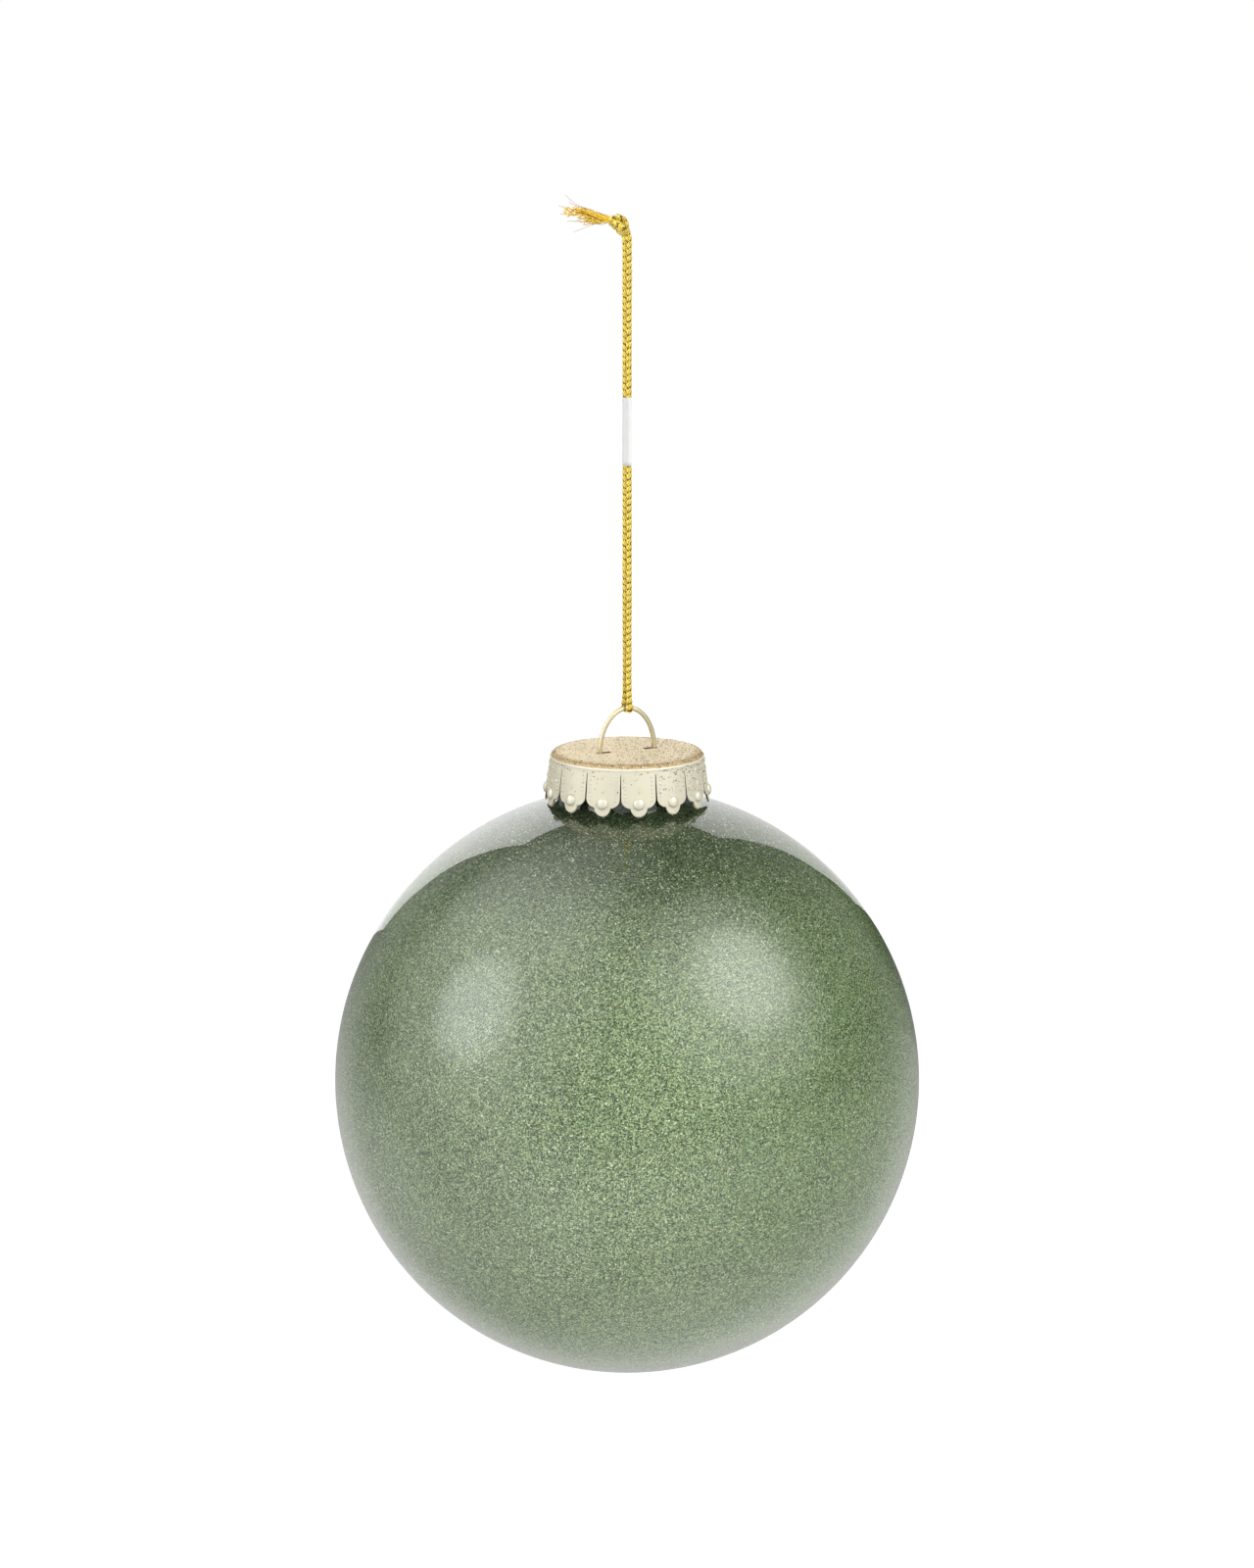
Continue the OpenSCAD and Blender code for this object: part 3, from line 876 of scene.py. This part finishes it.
def makeCap(spec):
    petals, columns = spec["petals"], spec["columns"]
    rows = petalRows(spec)
    bm = bmesh.new()
    bmesh.ops.create_grid(bm, x_segments=columns, y_segments=len(rows) - 1, size=0.5)
    for vert in bm.verts:
        row = round((0.5 - vert.co.y) * (len(rows) - 1))
        depth, half = rows[row]
        even = 2 * vert.co.x
        # columns drawn to the edges
        across = even + (sin(pi / 2 * even) - even) * min(1, row / 4)
        vert.co = onSkirt(depth, across * half / skirtRadius(depth), petalSwell(depth, across))[0] * mm
    turn = 2 * pi / petals
    bmesh.ops.spin(
        bm, geom=bm.verts[:] + bm.edges[:] + bm.faces[:], cent=(0, 0, 0), axis=(0, 0, 1),
        angle=turn * (petals - 1), steps=petals - 1, use_duplicate=True,
    )
    # the flat top and its rolled edge, down to the slits
    lean = radians(spec["flare"])
    edge = arcPoints((spec["topRadius"], capTop - spec["edge"]), spec["edge"], pi / 2, lean, 7)
    flat = [Vector((spec["topRadius"] * i / 8, 0, capTop)) for i in range(8)]
    fold, high, wide = spec["ridge"]
    edge = [point for point in edge if point.z > capTop - fold]
    steps = ((0.0, 0.0), (0.2, 0.8), (0.5, 1.0), (0.8, 0.8), (1.0, 0.0))
    ridge = [onSkirt(fold + wide * along, 0, high * up)[0] for along, up in steps]
    foot = onSkirt(spec["slitTop"], 0)[0]
    crown = bmesh.new()
    spinProfile(crown, [point * mm for point in flat + edge + ridge + [foot]], petals * columns)
    addMesh(bm, asMesh(crown), 0)
    bmesh.ops.remove_doubles(bm, verts=bm.verts[:], dist=2e-6)
    bmesh.ops.rotate(bm, verts=bm.verts[:], cent=(0, 0, 0), matrix=turnZ(spec["turn"]))
    cutSlots(bm, spec["slots"])
    bmesh.ops.recalc_face_normals(bm, faces=bm.faces[:])
    start, end = fold + 0.02, fold + wide - 0.02
    for face in bm.faces:
        middle = face.calc_center_median() / mm
        depth = capTop - middle.z
        onRim = hypot(middle.x, middle.y) > spec["topRadius"] - 0.1
        face.material_index = (depth < start) * (1 + onRim)
        # the raised fold's faces take the paler tone, a painted highlight
        if start <= depth < end:
            face.material_index = 3
    front = metalMaterial("champagneSkirt", spec["front"], spec["frontDeep"], spec)
    top = metalMaterial("champagneTop", spec["top"], spec["topDeep"], spec)
    rim = metalMaterial("champagneRim", spec["rim"], spec["rimDeep"], spec, size=1100.0)
    bright = metalMaterial("champagneFold", spec["fold"], spec["front"], spec, size=700.0)
    cut = metalMaterial("shadedCutEdge", spec["cut"], spec["cut"], spec)
    faces = [front, top, rim, bright] + [cut] * 4  # the sheet's cut edge follows each by 4; its near-black tone is painted shade in the slits
    cap = addPiece("capShell", bm, faces, "cap", "champagne_cap", "cap")
    wall = cap.modifiers.new("sheet", "SOLIDIFY")
    wall.thickness = spec["sheet"] * mm
    wall.offset = -1.0
    wall.material_offset_rim = 4


def cutSlots(bm, slots):
    # two slots for the wire's legs
    inner, outer, half = (value * mm for value in slots)
    planes = [((sign * x, 0, 0), (1, 0, 0)) for sign in (-1, 1) for x in (inner, outer)]
    planes += [((0, sign * half, 0), (0, 1, 0)) for sign in (-1, 1)]
    level = (capTop - 0.01) * mm
    for place, normal in planes:
        flat = [face for face in bm.faces if face.calc_center_median().z > level]
        edges = list({edge for face in flat for edge in face.edges})
        verts = list({vert for face in flat for vert in face.verts})
        bmesh.ops.bisect_plane(bm, geom=verts + edges + flat, dist=1e-7, plane_co=place, plane_no=normal)
    gone = []
    for face in bm.faces:
        middle = face.calc_center_median()
        if middle.z > level and inner < abs(middle.x) < outer and abs(middle.y) < half:
            gone.append(face)
    bmesh.ops.delete(bm, geom=gone, context="FACES")


def domeMesh(segments, rings):
    # the upper half of a ball
    bm = bmesh.new()
    bmesh.ops.create_uvsphere(bm, u_segments=segments, v_segments=rings, radius=1.0)
    bmesh.ops.bisect_plane(
        bm, geom=bm.verts[:] + bm.edges[:] + bm.faces[:], dist=1e-6, plane_co=(0, 0, -0.05),
        plane_no=(0, 0, 1), clear_inner=True,
    )
    return bm


def domePlace(depth, petal, across, size, lean=0.0):
    pitch = 2 * pi / capShell["petals"]
    angle = radians(capShell["turn"]) + pitch * (petal + across / 2)
    centre, out = onSkirt(depth, angle, petalSwell(depth, across))
    down = Vector((0, 0, -1)) - out * -out.z
    turn = Matrix((down.cross(out).normalized(), -down.normalized(), out)).transposed()
    turn = turn @ turnZ(lean) @ Matrix.Diagonal(size) * mm
    return Matrix.Translation(centre * mm) @ turn.to_4x4()


def makeBeads(spec):
    pearls, dots = [], []
    for petal in range(capShell["petals"]):
        pearls.append(domePlace(spec["pearlAt"], petal, 0.0, spec["pearl"]))
        for column in spec["dotColumns"]:
            dots += [domePlace(row, petal, column, spec["dot"]) for row in spec["dotRows"]]
        for row, across, lean in spec["leaves"]:
            dots.append(domePlace(row, petal, across, spec["leaf"], lean))
    bm = copyForms(domeMesh(20, 12), pearls)
    addMesh(bm, asMesh(copyForms(domeMesh(8, 6), dots)), 0)
    stamped = dict(capShell, roughness=spec["roughness"])
    pearl = metalMaterial("champagneBead", capShell["front"], capShell["front"], stamped)
    addPiece("capBeads", bm, [pearl], "cap", "champagne_cap")


def speckMaterial(spec):
    material, tree = newMaterial("strayGlitter")
    colour = toneRamp(tree, drawNode(tree), spec["tones"])
    finishPrincipled(tree, Base_Color=colour, Roughness=0.4, Metallic=0.3)
    return material


def topSpeck(draw, spec):
    # a place on the flat top, clear of the slots, and the direction out of it
    inner, outer, half = capShell["slots"]
    along, beside = spec["slotRoom"]
    everywhere, onRight, onFront = spec["topShare"]
    r, angle = capShell["topRadius"] * sqrt(draw.random()), draw.uniform(0, 2 * pi)
    right, away = r * cos(angle), r * sin(angle)
    keep = everywhere + onRight * (right > spec["rightFrom"])
    keep += onFront * (r > spec["frontRim"] and away < 0)
    flat = fromView(right, away, 0) / mm
    onSlot = inner - along < abs(flat.x) < outer + along and abs(flat.y) < half + beside
    if draw.random() < keep and not onSlot:
        return Vector((flat.x, flat.y, capTop + spec["lift"])), Vector((0, 0, 1))


def skirtSpeck(draw, spec):
    # a place on a petal, clear of the slits
    least, deep, power = spec["skirtDepth"]
    everywhere, onRight = spec["skirtShare"]
    angle, depth = draw.uniform(0, 2 * pi), least + deep * draw.random() ** power
    toView = degrees(angle) - photoView["azimuth"]
    keep = everywhere + onRight * (cos(radians(toView + spec["skirtTurn"])) > 0.5)
    across = (degrees(angle) - capShell["turn"]) / (360 / capShell["petals"])
    slitTop, slitHalf = spec["slitRoom"]
    inSlit = depth > slitTop and abs(abs(across - round(across)) - 0.5) < slitHalf
    if draw.random() < keep and not inSlit:
        return onSkirt(depth, angle, capShell["cushion"] + spec["lift"])


def rimSpeck(draw, spec):
    angle, turn = draw.uniform(0, 2 * pi), radians(draw.triangular(*spec["rimTurn"]))
    out = polar(cos(turn), angle, sin(turn))
    middle = polar(capShell["topRadius"], angle, capTop - capShell["edge"])
    return middle + out * (capShell["edge"] + spec["lift"]), out


def makeSpecks(spec):
    # stray flakes, thicker on the photo's right half and along the front rim
    draw = random.Random(spec["seed"])
    places = []
    for onFace, count in ((topSpeck, spec["top"]), (skirtSpeck, spec["skirt"]), (rimSpeck, spec["rim"])):
        goal = len(places) + count
        while len(places) < goal:
            found = onFace(draw, spec)
            if found:
                places.append(flakePlace(draw, found[0] * mm, found[1], spec["size"], spec["tilt"]))
    bm = flakeMesh(places, [draw.random() for _ in places])
    specks = addPiece("capSpecks", bm, [speckMaterial(spec)], "cap", "champagne_cap")
    specks.data.shade_flat()


makeCap(capShell)
makeBeads(capBeads)
makeSpecks(capSpecks)

# hanger wire: a half oval arch over the cap, and legs that bend outwards under it

hangerWire = {
    "diameter": 0.82, "arch": (5.13, 7.25), "bendRadius": 3.0, "bendAt": -1.0, "splay": 33, "reach": 22,
    "light": (0.62, 0.57, 0.41), "deep": (0.52, 0.45, 0.28), "metal": 0.6, "film": 0.4, "roughness": 0.24,
    "slant": (0.62, 0.46, 0.22),
}


def makeWire(spec):
    half, high = spec["arch"]
    bend, splay = spec["bendRadius"], radians(spec["splay"])
    turns = [pi / 2 * i / 24 for i in range(25)]
    side = [Vector((half * sin(turn), 0, high * cos(turn))) for turn in turns]
    bendCentre = Vector((half + bend, 0, spec["bendAt"]))
    side += [point + bendCentre for point in arcPoints((0, 0), bend, pi, pi + splay, 8)]
    down = Vector((sin(splay), 0, -cos(splay)))
    side.append(side[-1] + down * (spec["reach"] + side[-1].z) / cos(splay))
    other = [Vector((-point.x, 0, point.z)) for point in side[:0:-1]]
    route = [(point + Vector((0, 0, capTop))) * mm for point in other + side]
    bm = bmesh.new()
    addMesh(bm, tubeMesh([route], [spec["diameter"] / 2 * mm], 6), 0)
    drawn = metalMaterial("drawnWire", spec["light"], spec["deep"], spec)
    addPiece("hangerWire", bm, [drawn], "hanger", "pale_gold_wire", "hanger_wire")


makeWire(hangerWire)

# studio: pale floor, white surroundings, soft lamps, and a panel and a globe that reflections see

studio = {
    "floor": -1600, "floorSize": 60.0, "floorTone": 0.9, "floorGlow": 0.7, "ambient": 0.45,
    # soft lamps: azimuth from straight behind the object, elevation, distance, width and brightness
    "lamps": {
        "frontLamp": (155, 8, 1.6, 1.6, 2.0),
        "leftLamp": (-110, 33, 0.9, 0.5, 1.9),
        "rightLamp": (112, 42, 0.9, 0.5, 2.6),
    },
    # white panel: elevation and the angles to its left and right edge, in degrees, from its top down
    "panel": {
        "rows": [(42, 30, 26), (30, 31, 27), (12, 30, 26), (0, 27, 22), (-9, 15, 13), (-22, 8, 8)],
        "distance": 1.05, "strength": (2.7, 1.8), "across": 0.35, "foot": 0.5, "footHigh": 0.5,
    },
    # what the glass mirrors: an even grey, more of it low down, and soft glows
    # each glow: azimuth, elevation, angle out to which it is full, angle at which it ends, strength
    "globe": {
        "radius": 1.2, "even": 0.22, "least": 0.02, "low": (0.1, -0.5, 0.0, 0.85),
        "horizon": (-0.193, 0.348, 1), "step": (0.006, -0.006, 0.0, 0.12),
        "stepRight": (0.0, 0.5, 0.0, 1.0),
        "glows": [
            (-109, 29, 0, 23, 4.0), (-110, 37, 0, 56, 1.8), (-75, 65, 0, 40, 1.2),
            (115, 43, 0, 24, 3.4), (122, 42, 0, 45, 2.4),
            (180, 10, 20, 95, 0.85), (-115, -20, 0, 60, 0.9), (-50, 0, 0, 60, 0.3),
            (80, -70, 0, 40, 0.35), (180, -60, 0, 45, 0.35), (0, -75, 0, 50, 0.12),
            (0, -12, 0, 46, -0.5),
        ],
    },
}


def studioRay(azimuth, elevation):
    a, e = radians(azimuth), radians(elevation)
    return Vector((sin(a) * cos(e), cos(a) * cos(e), sin(e)))


def seenNode(tree):
    # 1 for what the camera sees, straight on, mirrored or through glass, and 0 for light on things
    path = addNode(tree, "LightPath")
    seen = mathNode(tree, "MAXIMUM", path.outputs["Is Camera Ray"], path.outputs["Is Glossy Ray"])
    return mathNode(tree, "MAXIMUM", seen, path.outputs["Is Transmission Ray"])


def glowNode(tree, strength):
    return addNode(tree, "Emission", Color=(1, 1, 1, 1), Strength=strength).outputs[0]


def floorMaterial(spec):
    material, tree = newMaterial("paleFloor")
    paper = addNode(tree, "BsdfDiffuse", Color=(*[spec["floorTone"]] * 3, 1))
    glow = glowNode(tree, mathNode(tree, "MULTIPLY", seenNode(tree), spec["floorGlow"]))
    finishMaterial(tree, addNode(tree, "AddShader", in0=paper.outputs[0], in1=glow).outputs[0])
    return material


def makeFloor(spec):
    bm = bmesh.new()
    bmesh.ops.create_grid(bm, x_segments=1, y_segments=1, size=spec["floorSize"] / 2)
    bmesh.ops.translate(bm, verts=bm.verts[:], vec=(0, 0, spec["floor"] * mm))
    floor = newObject("paleFloor", bm, [floorMaterial(spec)])


def makeWorld(spec):
    world = bpy.data.worlds.new("studioWorld")
    world.use_nodes = True
    tree = world.node_tree
    tree.nodes.clear()
    strength = mapNode(tree, seenNode(tree), 0.0, 1.0, spec["ambient"], 1.0)
    sky = addNode(tree, "Background", Color=(1, 1, 1, 1), Strength=strength)
    addNode(tree, "OutputWorld", Surface=sky.outputs[0])
    scene.world = world


def makeLamp(name, azimuth, elevation, distance, width, brightness):
    # a soft round lamp that faces the ball and isn't mirrored itself
    data = bpy.data.lights.new(name, "AREA")
    data.shape = "DISK"
    data.size = width
    data.energy = brightness * pi * pi * (width / 2) ** 2
    lamp = linked(name, data)
    ray = viewTurn @ studioRay(azimuth, elevation)
    lamp.location = ballCentre + ray * distance
    lamp.rotation_euler = ray.to_track_quat("Z", "Y").to_euler()
    lamp.visible_camera = False
    lamp.visible_glossy = False


def panelMaterial(spec):
    # brighter to the left, weaker towards its foot
    material, tree = newMaterial("backPanel")
    parts = addNode(tree, "SeparateXYZ", Vector=placeNode(tree))
    power = mapNode(tree, parts.outputs["X"], -spec["across"], spec["across"], *spec["strength"])
    fade = mapNode(tree, parts.outputs["Z"], 0.0, spec["footHigh"], spec["foot"], 1.0)
    finishMaterial(tree, glowNode(tree, mathNode(tree, "MULTIPLY", power, fade)))
    return material


def makePanel(spec):
    # a tall white panel behind the object, narrower at its foot: seen in the glass and not by the camera
    rows = spec["rows"]
    bm = bmesh.new()
    bmesh.ops.create_grid(bm, x_segments=12, y_segments=len(rows) - 1, size=0.5)
    for vert in bm.verts:
        elevation, left, other = rows[round((0.5 - vert.co.y) * (len(rows) - 1))]
        azimuth = (vert.co.x + 0.5) * (left + other) - left
        vert.co = studioRay(azimuth, elevation) * spec["distance"]
    panel = newObject("backPanel", bm, [panelMaterial(spec)])
    placeInView(panel)
    panel.visible_camera = False


def placeInView(obj):
    # stands at the ball's centre, turned to the photo's view
    obj.location = ballCentre
    obj.rotation_euler = (0, 0, radians(photoView["azimuth"]))


def globeMaterial(spec):
    material, tree = newMaterial("studioGlobe")
    place = placeNode(tree)

    def soften(direction, start, end, low, high):
        along = vectorNode(tree, "DOT_PRODUCT", place, in1=direction)
        return mapNode(tree, along, start, end, low, high, smooth=True)

    total = mathNode(tree, "ADD", soften((0, 0, 1), *spec["low"]), spec["even"])
    # a crisp slanting horizon on the right
    under = soften(spec["horizon"], *spec["step"])
    under = mathNode(tree, "MULTIPLY", under, soften((1, 0, 0), *spec["stepRight"]))
    total = mathNode(tree, "ADD", total, under)
    for azimuth, elevation, full, end, strength in spec["glows"]:
        start, end = cos(radians(end)), cos(radians(full))
        glow = soften(studioRay(azimuth, elevation), start, end, 0.0, strength)
        total = mathNode(tree, "ADD", total, glow)
    finishMaterial(tree, glowNode(tree, mathNode(tree, "MAXIMUM", total, spec["least"])))
    return material


def makeGlobe(spec):
    # a wide globe round the object that only reflections see
    bm = bmesh.new()
    bmesh.ops.create_uvsphere(bm, u_segments=96, v_segments=48, radius=1.0)
    globe = newObject("studioGlobe", bm, [globeMaterial(spec)])
    placeInView(globe)
    globe.scale = (spec["radius"],) * 3
    for ray in ("camera", "diffuse", "shadow", "transmission", "volume_scatter"):
        setattr(globe, "visible_" + ray, False)


makeFloor(studio)
makeWorld(studio)
for name, values in studio["lamps"].items():
    makeLamp(name, *values)
makePanel(studio["panel"])
makeGlobe(studio["globe"])
print("studio lit")
